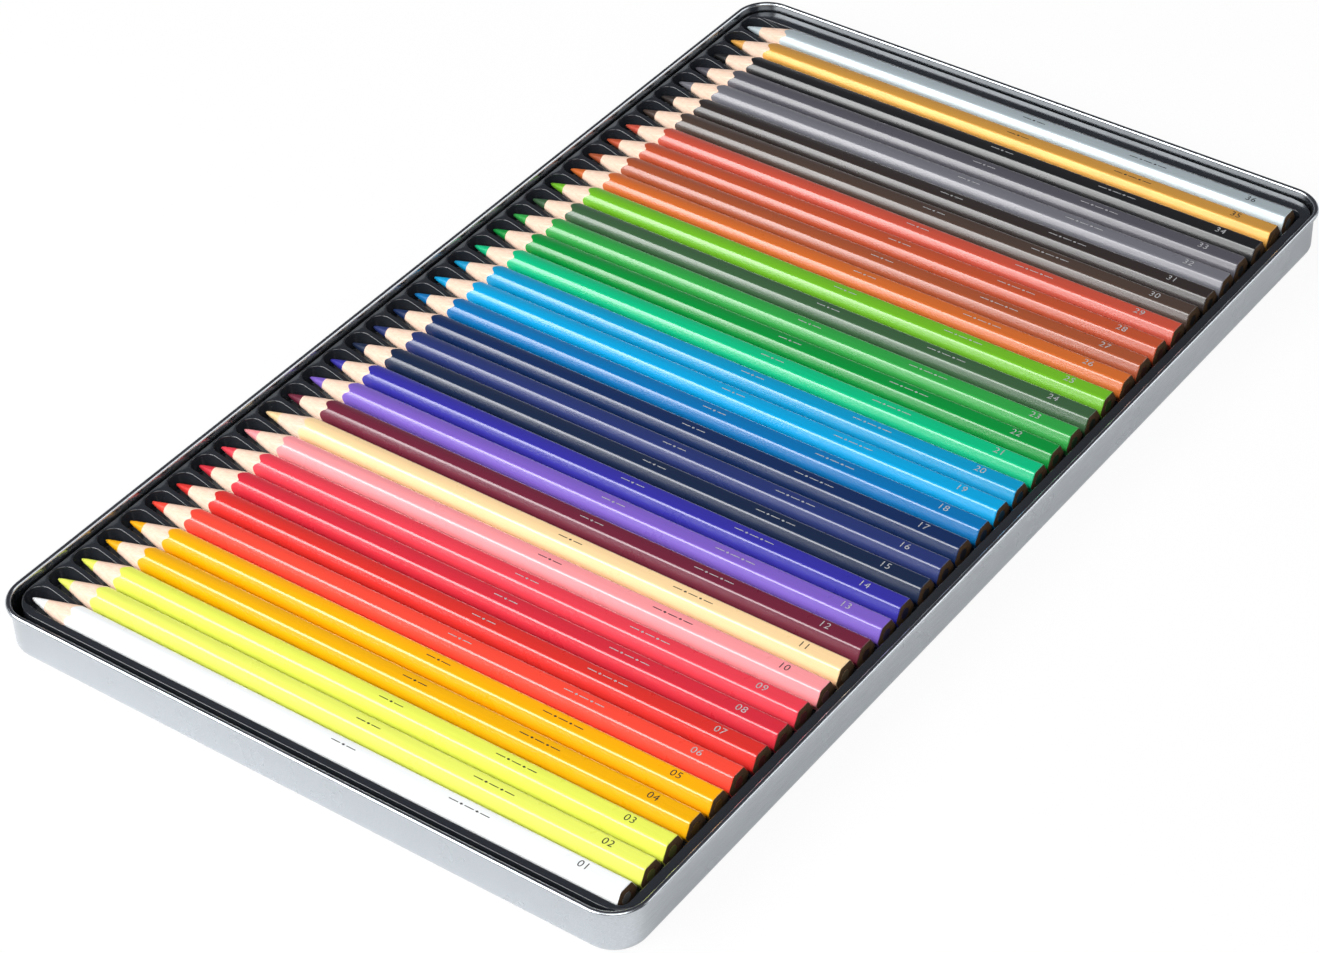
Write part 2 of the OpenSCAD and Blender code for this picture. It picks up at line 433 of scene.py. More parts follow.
def black_plastic_material():
    material, tree, shader, where = new_material("black_plastic", Specular_IOR_Level=0.8)
    clouds = use_group(tree, SOFT_WEAR, {"Scale": 90.0, "Low": 0.13, "High": 0.22},
                       {"Vector": where})
    specks = use_group(tree, DUST, {"Scale": 420.0, "Speck": 0.06, "Share": 0.12},
                       {"Vector": where})
    colour = colour_mix(tree, specks.outputs["Mask"], paint_colour("26292E"),
                        paint_colour("4A4B4D"))
    tree.links.new(colour, shader.inputs["Base Color"])
    tree.links.new(clouds.outputs["Value"], shader.inputs["Roughness"])
    skin = use_group(tree, LONG_GRAIN, {"Stretch": (1, 1, 1), "Scale": 1400.0, "Contrast": 1.0},
                     {"Vector": where})
    waves = place(tree, "ShaderNodeBump", {"Strength": 0.06, "Distance": 0.0003},
                  {"Height": clouds.outputs["Height"]})
    fine = place(tree, "ShaderNodeBump", {"Strength": 0.05, "Distance": 0.00003},
                 {"Height": skin.outputs["Height"], "Normal": waves.outputs[0]})
    tree.links.new(fine.outputs[0], shader.inputs["Normal"])
    return material


BLACK_PLASTIC = black_plastic_material()

# %% [markdown]
# ## Form the tray
# A sheet that is drawn over a mould has no sharp edge anywhere: the edge of the flange, the round end
# of every channel and both edges of every rib are small fillets, and they are what catches the light.
# One wall runs through the whole row, up one side of a channel, round its end, down the other side
# and round the end of the next rib. So one profile, with a fillet at its top and one at its foot, is
# carried along that path, and the flat lands are laid between its rows.

# %% Read the tray's sizes
tray_low, tray_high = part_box("insert_tray")
pencil_bodies = sorted(body for body in frame["bodies"] if body.startswith("pencil_"))
pencil_boxes = [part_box(body) for body in pencil_bodies]
pencil_axes = [(low.x + high.x) / 2 for low, high in pencil_boxes]
PITCH = (pencil_axes[-1] - pencil_axes[0]) / (len(pencil_axes) - 1)
PENCIL_BOTTOM = pencil_boxes[0][0].z
SKIN = 0.6 * MM
TRAY_CORNER = 8 * MM
SEAT_CLEARANCE = 0.05 * MM
SIDE_CLEARANCE = 0.35 * MM
RIB_HEIGHT = 1.9 * MM
RIB_RAMP = 12 * MM
FRONT_FLANGE = 3 * MM
TROUGH_WIDTH = 4.4 * MM
TROUGH_CORNER = 2.5 * MM
FLOOR = PENCIL_BOTTOM - SEAT_CLEARANCE
RIB_TOP = FLOOR + RIB_HEIGHT
FLANGE = tray_high.z
CHANNEL_HALF = 3.5 * MM
CHANNEL_END = tray_high.y - SKIN - CHANNEL_HALF
RAMP_START = CHANNEL_END - RIB_RAMP
POCKET_SIDE = pencil_boxes[-1][1].x + SIDE_CLEARANCE
TROUGH_START = tray_low.y + FRONT_FLANGE
RIB_START = TROUGH_START + TROUGH_WIDTH
RIB_HALF = PITCH / 2 - CHANNEL_HALF
LIP_ROUND = 0.28 * MM
OUTER_ROUND = 0.28 * MM
FOOT_ROUND = 0.5 * MM
LEAST_ROUND = 0.02 * MM
FILLET_STEPS = 5
print("channels:", len(pencil_axes), "pitch:", round(PITCH * 1000, 3))

# %% The wall that runs through the row


def ramp_height(y):
    """Height of the land beside a channel: low ribs that rise to the flange at the points."""
    share = min(max((y - RAMP_START) / (CHANNEL_END - RAMP_START), 0), 1)
    eased = share * share * (3 - 2 * share)
    return RIB_TOP + (FLANGE - RIB_TOP) * (0.5 * share + 0.5 * eased)


def outer_station(x, y):
    """The place on the tray's outer edge that lies straight out from a point of the flange."""
    middle = Vector((min(max(x, tray_low.x + TRAY_CORNER), tray_high.x - TRAY_CORNER),
                     min(max(y, tray_low.y + TRAY_CORNER), tray_high.y - TRAY_CORNER), 0))
    way = Vector((x, y, 0)) - middle
    return middle, way.normalized(), TRAY_CORNER - way.length


def wall_profile(top, floor, lip, foot):
    """Points (outward, height) over the lip, down the wall and out onto the floor."""
    lip = min(lip, (top - floor) / 2)
    foot = min(foot, (top - floor) / 2)
    over = arc((lip, top - lip), lip, 90, 180, FILLET_STEPS)
    return over + arc((-foot, floor + foot), foot, 0, -90, FILLET_STEPS)


def carry_wall(shape, path, lip_only=()):
    """Carries the wall's profile along a path of (x, y, way out, top, floor, foot)."""
    columns = []
    for x, y, way, top, floor, foot in path:
        lip = LIP_ROUND
        if y >= CHANNEL_END:
            room = outer_station(x, y)[2] - OUTER_ROUND
            lip = min(LIP_ROUND, max(room - LEAST_ROUND, LEAST_ROUND))
        columns.append([(x + way[0] * out, y + way[1] * out, z)
                        for out, z in wall_profile(top, floor, lip, foot)])
    rows = [shape.row(points) for points in zip(*columns)]
    for level, (a, b) in enumerate(zip(rows, rows[1:])):
        for k in range(len(path) - 1):
            if level < FILLET_STEPS or k not in lip_only:
                shape.face((a[k], a[k + 1], b[k + 1], b[k]), smooth=True)
    return rows


RAMP_STEPS = 10
ARC_STEPS = 20
END_STEPS = 10
TROUGH_ARC_STEPS = 12
EVEN_STEPS = 3
FOOT_BLEND = 1 * MM
LONG_SIDE_BREAK = 60 * MM


def channel_steps():
    """Places along a channel's side where the wall gets a station, from its mouth to its end."""
    ramp = [RAMP_START + (CHANNEL_END - RAMP_START) * k / RAMP_STEPS for k in range(RAMP_STEPS)]
    return [RIB_START + RIB_HALF, RAMP_START - LONG_SIDE_BREAK] + ramp


PER_SIDE = len(channel_steps())
PER_CHANNEL = 2 * PER_SIDE + ARC_STEPS + 1


def mirror(path):
    """The same stretch of wall on the other side of the row, in the path's order."""
    return [(-x, y, (-way[0], way[1]), top, floor, foot)
            for x, y, way, top, floor, foot in reversed(path)]


def row_path():
    """The path of the wall through all the channels, and where each channel's part of it starts."""
    gap = POCKET_SIDE + pencil_axes[0] - CHANNEL_HALF
    path = []
    for k in range(END_STEPS // 2):
        angle = math.radians(-90 + 180 * k / END_STEPS)
        path.append((-POCKET_SIDE + gap * math.cos(angle),
                     RIB_START + RIB_HALF * (1 + math.sin(angle)),
                     (-math.cos(angle), -math.sin(angle)), RIB_TOP, FLOOR, FOOT_ROUND))
    first_end = mirror(path)
    starts = []
    for number, axis in enumerate(pencil_axes):
        starts.append(len(path))
        side = [(y, ramp_height(y)) for y in channel_steps()]
        path += [(axis - CHANNEL_HALF, y, (-1, 0), top, FLOOR, FOOT_ROUND) for y, top in side]
        for k in range(ARC_STEPS + 1):
            angle = math.radians(180 - 180 * k / ARC_STEPS)
            way = (math.cos(angle), math.sin(angle))
            path.append((axis + CHANNEL_HALF * way[0], CHANNEL_END + CHANNEL_HALF * way[1],
                         way, FLANGE, FLOOR, FOOT_ROUND))
        path += [(axis + CHANNEL_HALF, y, (1, 0), top, FLOOR, FOOT_ROUND)
                 for y, top in reversed(side)]
        if number < len(pencil_axes) - 1:
            for k in range(1, END_STEPS):
                angle = math.radians(180 + 180 * k / END_STEPS)
                way = (math.cos(angle), math.sin(angle))
                path.append((axis + PITCH / 2 + RIB_HALF * way[0],
                             RIB_START + RIB_HALF * (1 + way[1]),
                             (-way[0], -way[1]), RIB_TOP, FLOOR, FOOT_ROUND))
    return path + first_end, starts


def pocket_path(bottom_places):
    """The path of the wall round the pocket, from the points' end on the left, past the trough."""
    left = [(-POCKET_SIDE, y, (-1, 0), FLANGE, ramp_height(y), 0)
            for y in [CHANNEL_END] + channel_steps()[::-1]]
    begin = RIB_START - FOOT_BLEND
    corner = (-POCKET_SIDE + TROUGH_CORNER, TROUGH_START + TROUGH_CORNER)
    for k in range(EVEN_STEPS):
        left.append((-POCKET_SIDE, begin + (corner[1] - begin) * k / EVEN_STEPS, (-1, 0), FLANGE,
                     FLOOR, FOOT_ROUND * k / EVEN_STEPS))
    for way in arc((0, 0), 1, 180, 270, TROUGH_ARC_STEPS):
        left.append((corner[0] + TROUGH_CORNER * way[0], corner[1] + TROUGH_CORNER * way[1],
                     way, FLANGE, FLOOR, FOOT_ROUND))
    straight = tray_low.x + TRAY_CORNER - corner[0]
    for k in range(1, EVEN_STEPS + 1):
        left.append((corner[0] + straight * k / EVEN_STEPS, TROUGH_START, (0, -1), FLANGE, FLOOR,
                     FOOT_ROUND))
    bottom = [(x, TROUGH_START, (0, -1), FLANGE, FLOOR, FOOT_ROUND) for x in bottom_places]
    return left + bottom + mirror(left), len(left)


# %% Lay the lands between the walls


def lay_flat(shape, side_a, side_b, closed=False):
    """Flat quads between two rows that face each other."""
    shape.skin(side_a, side_b, smooth=False, closed=closed)


def lay_channels_and_ribs(shape, land, floor, starts):
    """Channel floors and rib tops. Returns the land's points round the channels' far ends."""
    half = PER_CHANNEL // 2
    edge = []
    for start in starts:
        lay_flat(shape, floor[start:start + half + 1],
                 floor[start + PER_CHANNEL - 1 - half:start + PER_CHANNEL][::-1])
        edge += land[start + PER_SIDE:start + PER_SIDE + ARC_STEPS + 1]
    for start, following in zip(starts, starts[1:]):
        end = land[start + PER_CHANNEL:following]
        middle = len(end) // 2
        left = land[start + PER_SIDE + ARC_STEPS:start + PER_CHANNEL] + end[:middle + 1]
        right = land[following:following + PER_SIDE + 1][::-1] + end[middle:][::-1]
        lay_flat(shape, left, right)
    return edge


def lay_half_rib(shape, land_side, land_end, base, end_column, wall_top, foot):
    """The ledge between the pocket's side and an outermost channel, and the wall above its end."""
    lay_flat(shape, land_side, base)
    shape.face(land_end + [base[0]])
    shape.face([wall_top[0], base[0]] + end_column + [foot, wall_top[1]])


def lay_trough(shape, floor, starts, pocket_floor, left_count):
    """The trough's floor: one patch at each end, and quads from the channels' mouths between."""
    last = len(floor) - 1
    first_right = starts[0] + 2 * PER_SIDE + ARC_STEPS
    mouths = []
    for start, following in zip(starts, starts[1:]):
        mouths += floor[start + 2 * PER_SIDE + ARC_STEPS:following + 1]
    bottom = pocket_floor[left_count:-left_count]
    lay_flat(shape, mouths, bottom)
    turn = PER_SIDE + 1
    shape.face(floor[:starts[0] + 1] + [floor[first_right]]
               + pocket_floor[turn:left_count + 1][::-1])
    shape.face(floor[last - starts[0]:][::-1] + [floor[starts[-1]]]
               + pocket_floor[-left_count - 1:-turn])


def lay_flange(shape, loop):
    """The flange, from the loop of lands to the outer edge, and the skirt that turns down there."""
    stations = [outer_station(shape.points[k].x, shape.points[k].y)[:2] for k in loop]
    profile = arc((TRAY_CORNER - OUTER_ROUND, FLANGE - OUTER_ROUND), OUTER_ROUND, 90, 0, steps=6)
    profile += [(TRAY_CORNER, tray_low.z), (TRAY_CORNER - SKIN, tray_low.z),
                (TRAY_CORNER - SKIN, FLOOR - SKIN)]
    skirt = sweep(shape, stations, profile)
    lay_flat(shape, loop, skirt[0], closed=True)
    shape.face(skirt[-1])


def build_tray():
    shape = Shape()
    path, starts = row_path()
    rows = carry_wall(shape, path)
    land, floor = rows[0], rows[-1]
    edge = lay_channels_and_ribs(shape, land, floor, starts)
    bottom_places = []
    for start, following in zip(starts, starts[1:]):
        bottom_places += [shape.points[k].x
                          for k in floor[start + 2 * PER_SIDE + ARC_STEPS:following + 1]]
    pocket, left_count = pocket_path(bottom_places)
    turns = (PER_SIDE, len(pocket) - 2 - PER_SIDE)
    pocket_rows = carry_wall(shape, pocket, turns)
    pocket_land, pocket_floor = pocket_rows[0], pocket_rows[-1]
    side = pocket_floor[:PER_SIDE + 1][::-1]
    wall_top = pocket_rows[FILLET_STEPS]
    lay_half_rib(shape, land[starts[0]:starts[0] + PER_SIDE + 1], land[:starts[0] + 1], side,
                 [row[0] for row in rows], (wall_top[PER_SIDE], wall_top[PER_SIDE + 1]),
                 pocket_floor[PER_SIDE + 1])
    other = pocket_floor[-PER_SIDE - 1:]
    outer = land[starts[-1] + PER_SIDE + ARC_STEPS:starts[-1] + PER_CHANNEL][::-1]
    lay_half_rib(shape, outer, land[starts[-1] + PER_CHANNEL - 1:][::-1], other,
                 [row[-1] for row in rows], (wall_top[-PER_SIDE - 1], wall_top[-PER_SIDE - 2]),
                 pocket_floor[-PER_SIDE - 2])
    lay_trough(shape, floor, starts, pocket_floor, left_count)
    lay_flange(shape, edge[::-1] + pocket_land)
    tray = shape.piece("formed_tray", [BLACK_PLASTIC])
    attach(tray, "insert")
    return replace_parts(tray, "insert_tray")


formed_tray = build_tray()
print("tray:", [round(v * 1000, 1) for v in formed_tray.dimensions], len(formed_tray.data.vertices))

# %% [markdown]
# ## Lacquer
# The casings are dipped in a coloured lacquer with a clear coat over it. Some of the wood's grain
# telegraphs through as a very slight ripple, its colour is a touch deeper in places, and the gloss is
# not quite even. Gold and silver are metallic paints: fine flakes in them spread the light over a
# wider angle, so they are rougher and their clear coat counts for less.

# %% Make a lacquer
LACQUER_ROUGHNESS = 0.26
METALLIC_ROUGHNESS = 0.38
ROUGHNESS_SPREAD = 0.09


def lacquer_material(name, colour, metallic=0.0):
    material, tree, shader, where = new_material(
        "lacquer_" + name, Metallic=metallic, Specular_IOR_Level=0.3,
        Coat_Weight=0.5 if metallic else 1.0, Coat_Roughness=0.2, Coat_IOR=1.5)
    low = METALLIC_ROUGHNESS if metallic else LACQUER_ROUGHNESS
    streaks = use_group(tree, LONG_GRAIN, {"Stretch": (1, 0.05, 1), "Scale": 900.0,
                                           "Contrast": 1.6}, {"Vector": where})
    specks = use_group(tree, DUST, {"Scale": 700.0, "Speck": 0.05, "Share": 0.05},
                       {"Vector": where})
    sheen = use_group(tree, SOFT_WEAR, {"Scale": 130.0, "Low": low, "High": low + ROUGHNESS_SPREAD},
                      {"Vector": where})
    streaked = colour_mix(tree, streaks.outputs["Mask"], shade(colour, 0.9), colour)
    finished = colour_mix(tree, specks.outputs["Mask"], streaked, shade(colour, 0.8, 0.06))
    tree.links.new(finished, shader.inputs["Base Color"])
    tree.links.new(sheen.outputs["Value"], shader.inputs["Roughness"])
    ripple = place(tree, "ShaderNodeBump", {"Strength": 0.1, "Distance": 0.00004},
                   {"Height": streaks.outputs["Height"]})
    tree.links.new(ripple.outputs[0], shader.inputs["Normal"])
    return material


PAINTS = {
    "white": "F4F6F6", "lemon": "E9F166", "yellow": "E7EF5C", "chrome_yellow": "F0AE00",
    "orange": "FCAE00", "vermilion": "F84A38", "red": "D8302A", "crimson": "D42C3C",
    "carmine": "E8404F", "pink": "FA9A9E", "blush": "FCD8A2", "magenta": "6E2238",
    "lilac": "7C5EC2", "violet": "34309E", "prussian_blue": "162644", "ultramarine": "26346E",
    "navy": "102A58", "mid_blue": "0070B0", "sky_blue": "00A2DA", "light_blue": "0096C6",
    "emerald": "04BC80", "green": "008E38", "light_green": "2EA044", "grey_green": "3A5E3C",
    "moss": "70B824", "ochre": "D06A2C", "brown": "A8522F", "sienna": "BC502E",
    "indian_red": "C6503C", "umber": "4C3C34", "dark_brown": "322A28", "grey": "72727A",
    "dark_grey": "54525A", "black": "1C1C1E", "gold": "E2A64C", "silver": "BAC7CC",
}
METALLIC = {"gold": 0.3, "silver": 0.3}


def paint_name(body):
    """The paint's name is what follows the number in the pencil's name."""
    return body.split("_", 2)[2]


LACQUERS = {}
for body in pencil_bodies:
    name = paint_name(body)
    LACQUERS[name] = lacquer_material(name, paint_colour(PAINTS[name]), METALLIC.get(name, 0.0))
print("lacquers:", len(LACQUERS))

# %% [markdown]
# ## Bare wood and cores
# Sharpening lays the wood bare. It is pale and warm, its fibres run along the pencil, and the blade
# leaves very fine rings round the cone. The core is wax and pigment: its colour is the pencil's own,
# a little deeper, with a dull waxy gloss. At the blunt end the wood is dark brown, and wood and core
# there are both darkened further with painted shade, the core's face to about an eighth of its colour.

# %% Make the wood and the cores
WOOD_SPREAD = 0.08
PORE_DEPTH = 0.35


def wood_material(name, light, dark, rough):
    material, tree, shader, where = new_material(name, Specular_IOR_Level=0.3)
    fibres = use_group(tree, LONG_GRAIN, {"Stretch": (1, 0.09, 1), "Scale": 1500.0,
                                          "Contrast": 2.4}, {"Vector": where})
    pores = use_group(tree, LONG_GRAIN, {"Stretch": (1, 0.16, 1), "Scale": 4200.0,
                                         "Contrast": 4.0}, {"Vector": where})
    toned = colour_mix(tree, fibres.outputs["Mask"], paint_colour(dark), paint_colour(light))
    pored = place(tree, "ShaderNodeMath", {1: PORE_DEPTH}, {0: pores.outputs["Mask"]},
                  operation="MULTIPLY")
    finished = colour_mix(tree, pored.outputs[0], toned, shade(paint_colour(dark), 0.8))
    tree.links.new(finished, shader.inputs["Base Color"])
    dry = use_group(tree, SOFT_WEAR, {"Scale": 400.0, "Low": rough - WOOD_SPREAD,
                                      "High": rough + WOOD_SPREAD}, {"Vector": where})
    tree.links.new(dry.outputs["Value"], shader.inputs["Roughness"])
    raised = place(tree, "ShaderNodeBump", {"Strength": 0.25, "Distance": 0.00005},
                   {"Height": fibres.outputs["Height"]})
    rings = place(tree, "ShaderNodeTexWave", {"Scale": 900.0, "Distortion": 1.0},
                  {"Vector": where}, bands_direction="Y")
    cut = place(tree, "ShaderNodeBump", {"Strength": 0.12, "Distance": 0.00004},
                {"Height": rings.outputs["Fac"], "Normal": raised.outputs[0]})
    tree.links.new(cut.outputs[0], shader.inputs["Normal"])
    return material


def core_material(name, colour):
    material, tree, shader, where = new_material("core_" + name, Specular_IOR_Level=0.4)
    marks = use_group(tree, LONG_GRAIN, {"Stretch": (1, 0.3, 1), "Scale": 1800.0,
                                         "Contrast": 2.0}, {"Vector": where})
    marked = colour_mix(tree, marks.outputs["Mask"], shade(colour, 0.7), colour)
    tree.links.new(marked, shader.inputs["Base Color"])
    waxy = use_group(tree, SOFT_WEAR, {"Scale": 500.0, "Low": 0.4, "High": 0.55},
                     {"Vector": where})
    tree.links.new(waxy.outputs["Value"], shader.inputs["Roughness"])
    worn = place(tree, "ShaderNodeBump", {"Strength": 0.3, "Distance": 0.00006},
                 {"Height": marks.outputs["Height"]})
    tree.links.new(worn.outputs[0], shader.inputs["Normal"])
    return material


BARE_WOOD = wood_material("bare_wood", "F8DECA", "E7C2AA", 0.55)
# The cut end is dark wood, made darker still with painted shade.
DARK_AND_SHADED_CUT_END = wood_material("dark_and_shaded_cut_end", "6A5138", "3E2E20", 0.6)
CORES = {name: core_material(name, paint_colour(PAINTS[name])) for name in LACQUERS}
# Painted shade: each core's blunt face is its colour darkened to about an eighth.
SHADED_CORE_ENDS = {name: core_material(name + "_end", shade(paint_colour(PAINTS[name]), 0.12, 0.02))
             for name in LACQUERS}

# %% [markdown]
# ## Sharpen the pencils
# A pencil is a hexagon with soft corners, and a sharpener cuts it to a cone. Where the cone meets a
# flat, the edge of the lacquer is a shallow curve that points back along the flat, and at each corner
# it reaches forward: the scalloped edge that every sharpened hexagonal pencil has. A point of the
# section at radius r meets the cone where the cone's radius is r, so the scallops need no boolean.

# %% The section and the cone
PENCIL_FLAT = (pencil_boxes[0][1].z - pencil_boxes[0][0].z) / 2
PENCIL_EDGE = (pencil_boxes[0][1].x - pencil_boxes[0][0].x) / 2
PENCIL_LENGTH = pencil_boxes[0][1].y - pencil_boxes[0][0].y
CORE_RADIUS = 1.5 * MM
BORE_RADIUS = 1.55 * MM
POINT_ANGLE = math.radians(13.5)
TIP_RADIUS = 0.35 * MM
APEX = PENCIL_LENGTH + TIP_RADIUS / math.tan(POINT_ANGLE)
FILLET_SHARE = 0.95
FLAT_SHARES = (0.02, 0.14, 0.28, 0.43, 0.57, 0.72, 0.86, 0.98)


def hexagon_section():
    """Points (x, z) round the casing: soft corners, and flats with a flat one at the top."""
    slant = math.cos(math.radians(30))
    fillet = FILLET_SHARE * (PENCIL_FLAT / slant - PENCIL_EDGE) / (1 / slant - 1)
    reach = (PENCIL_FLAT - fillet) / slant
    corners = []
    for turn in range(0, 360, 60):
        middle = (reach * math.cos(math.radians(turn)), reach * math.sin(math.radians(turn)))
        corners.append(arc(middle, fillet, turn - 30, turn + 30, steps=6))
    points = []
    for rounded, following in zip(corners, corners[1:] + corners[:1]):
        points += rounded
        for share in FLAT_SHARES:
            points.append(tuple(a + (b - a) * share for a, b in zip(rounded[-1], following[0])))
    return points


SECTION = hexagon_section()


def ring(shape, y_of, radius_of):
    """A ring of points round the pencil's axis, one for each point of its section."""
    points = []
    for x, z in SECTION:
        size = math.hypot(x, z)
        radius = radius_of(size)
        points.append((x / size * radius, y_of(size), z / size * radius))
    return shape.row(points)


def cone_y(radius):
    return APEX - radius / math.tan(POINT_ANGLE)


# %% Build a casing and a core
END_BEVEL = 0.12 * MM
PAINTED, SHARPENED, BLUNT = 0, 1, 2
CONE_SHARES = (0.25, 0.5, 0.75, 1.0)
CORE_SHARES = (0.8, 0.6, 0.4)
WORN_TIP = ((0.2 * MM, 0.33 * MM), (0.06 * MM, 0.22 * MM), (0, 0.08 * MM))


def casing_shape():
    """A bored casing: a blunt end with a small bevel, the painted sides and the bare cone."""
    shape = Shape()
    bore_front = ring(shape, lambda r: cone_y(BORE_RADIUS), lambda r: BORE_RADIUS)
    bore_back = ring(shape, lambda r: 0, lambda r: BORE_RADIUS)
    end = ring(shape, lambda r: 0, lambda r: r - END_BEVEL)
    start = ring(shape, lambda r: END_BEVEL, lambda r: r)
    support = ring(shape, lambda r: 3 * END_BEVEL, lambda r: r)
    paint_edge = ring(shape, lambda r: cone_y(r), lambda r: r)
    shape.skin(bore_front, bore_back, BLUNT, closed=True)
    shape.skin(bore_back, end, BLUNT, smooth=False, closed=True)
    shape.skins((end, start, support, paint_edge), PAINTED, closed=True)
    before = paint_edge
    for share in CONE_SHARES:
        def toward(r, share=share):
            return r + (BORE_RADIUS - r) * share
        following = ring(shape, lambda r: cone_y(toward(r)), toward)
        shape.skin(before, following, SHARPENED, closed=True)
        before = following
    shape.skin(before, bore_front, SHARPENED, closed=True)
    return shape


def core_shape():
    """A core with a slightly worn tip. Its blunt face has the second material, a painted shade."""
    shape = Shape()
    outline = [(0, CORE_RADIUS), (cone_y(CORE_RADIUS), CORE_RADIUS)]
    outline += [(cone_y(CORE_RADIUS * share), CORE_RADIUS * share) for share in CORE_SHARES]
    outline += [(PENCIL_LENGTH - back, radius) for back, radius in WORN_TIP]
    rows = [ring(shape, lambda r, y=y: y, lambda r, radius=radius: radius)
            for y, radius in outline]
    shape.skins(rows, closed=True)
    shape.face(rows[0], material=1)
    shape.face(rows[-1], smooth=True)
    return shape


def shared_mesh(shape, name):
    """One mesh that every pencil copies, so that the thirty-six are alike to the last point."""
    made = shape.piece(name, [])
    mesh = made.data
    bpy.data.objects.remove(made)
    return mesh


CASING_MESH = shared_mesh(casing_shape(), "casing")
CORE_MESH = shared_mesh(core_shape(), "core")
print("casing:", len(CASING_MESH.vertices), "points; core:", len(CORE_MESH.vertices))

# %% Lay the pencils in their channels


def lay(name, mesh, materials, body):
    """A copy of a mesh, placed with its blunt end where the frame's pencil starts."""
    low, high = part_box(body)
    copy = bpy.data.objects.new(name, mesh.copy())
    for material in materials:
        copy.data.materials.append(material)
    bpy.context.scene.collection.objects.link(copy)
    copy.location = ((low.x + high.x) / 2, low.y, (low.z + high.z) / 2)
    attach(copy, body)
    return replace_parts(copy, body)


for body in pencil_bodies:
    name = paint_name(body)
    lay(body + "_casing", CASING_MESH, [LACQUERS[name], BARE_WOOD, DARK_AND_SHADED_CUT_END], body)
    lay(body + "_core", CORE_MESH, [CORES[name], SHADED_CORE_ENDS[name]], body)
print("pencils laid:", len(pencil_bodies))

# %% [markdown]
# ## Stamped foil
# Every pencil carries a stamp on its upper flat: a plain number near the blunt end and small rows of
# bars and lozenges further up. It is silver foil on the deep colours, and black on the pale and the
# metallic ones, where silver would hardly show. Foil follows the grain of the wood under it, so its
# bump is strong for its size and parts of it glint.

# %% Make the foil


def foil_material(name, dark, light, metallic):
    material, tree, shader, where = new_material(name + "_foil", Metallic=metallic)
    crinkle = use_group(tree, LONG_GRAIN, {"Stretch": (1, 0.5, 1), "Scale": 2400.0,
                                           "Contrast": 3.0}, {"Vector": where})
    colour = colour_mix(tree, crinkle.outputs["Mask"], paint_colour(dark), paint_colour(light))
    tree.links.new(colour, shader.inputs["Base Color"])
    uneven = use_group(tree, SOFT_WEAR, {"Scale": 900.0, "Low": 0.25, "High": 0.5},
                       {"Vector": where})
    tree.links.new(uneven.outputs["Value"], shader.inputs["Roughness"])
    bump = place(tree, "ShaderNodeBump", {"Strength": 0.6, "Distance": 0.00008},
                 {"Height": crinkle.outputs["Height"]})
    tree.links.new(bump.outputs[0], shader.inputs["Normal"])
    return material


SILVER_FOIL = foil_material("silver", "A4A6A8", "F2F3F4", 0.45)
BLACK_FOIL = foil_material("black", "1E1E20", "3A3A3C", 0.1)
BLACK_STAMPED = {"white", "lemon", "yellow", "chrome_yellow", "orange", "pink", "blush", "gold",
                 "silver"}

# %% Stamp the numbers
NUMBER_HEIGHT = 2.9 * MM
NUMBER_FROM_END = 11.5 * MM
ORNAMENT_FROM_END = 43 * MM
MARK_FROM_END = 79 * MM
FOIL_LIFT = 0.015 * MM
BAR_LENGTH = 2.6 * MM
BAR_HALF = 0.13 * MM
BAR_GAP = 1.8 * MM
LOZENGE_HALF_LENGTH = 0.5 * MM
LOZENGE_HALF_WIDTH = 0.35 * MM


def number_mesh(number):
    """Flat digits as a mesh, centred, that read along the pencil."""
    text = bpy.data.curves.new("number", "FONT")
    text.body = f"{number:02d}"
    text.size = NUMBER_HEIGHT
    text.align_x = "CENTER"
    text.align_y = "CENTER"
    text.space_character = 1.1
    holder = bpy.data.objects.new("number", text)
    bpy.context.scene.collection.objects.link(holder)
    bpy.context.view_layer.update()
    flat = bpy.data.meshes.new_from_object(holder)
    bpy.data.objects.remove(holder)
    return flat


def ornament_faces(shape, along, bars):
    """Thin bars with a lozenge between them, laid along X about a place."""
    for k in range(bars):
        start = along + (k - bars / 2) * (BAR_LENGTH + BAR_GAP) + BAR_GAP / 2
        end = start + BAR_LENGTH
        shape.face(shape.row([(start, -BAR_HALF, 0), (end, -BAR_HALF, 0), (end, BAR_HALF, 0),
                              (start, BAR_HALF, 0)]))
        if k < bars - 1:
            middle = end + BAR_GAP / 2
            shape.face(shape.row([(middle - LOZENGE_HALF_LENGTH, 0, 0),
                                  (middle, -LOZENGE_HALF_WIDTH, 0),
                                  (middle + LOZENGE_HALF_LENGTH, 0, 0),
                                  (middle, LOZENGE_HALF_WIDTH, 0)]))


def stamp(body, number):
    low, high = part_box(body)
    shape = Shape()
    ornament_faces(shape, -(ORNAMENT_FROM_END - NUMBER_FROM_END), bars=3)
    ornament_faces(shape, -(MARK_FROM_END - NUMBER_FROM_END), bars=2)
    finish = BLACK_FOIL if paint_name(body) in BLACK_STAMPED else SILVER_FOIL
    foil = shape.piece(body + "_foil", [finish], flat=True)
    joined = bmesh.new()
    joined.from_mesh(foil.data)
    joined.from_mesh(number_mesh(number))
    joined.to_mesh(foil.data)
    joined.free()
    foil.rotation_euler = (0, 0, math.radians(-90))
    foil.location = ((low.x + high.x) / 2, low.y + NUMBER_FROM_END, high.z + FOIL_LIFT)
    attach(foil, body)
    return foil


for index, body in enumerate(pencil_bodies):
    stamp(body, index + 1)
print("stamps:", len(pencil_bodies))

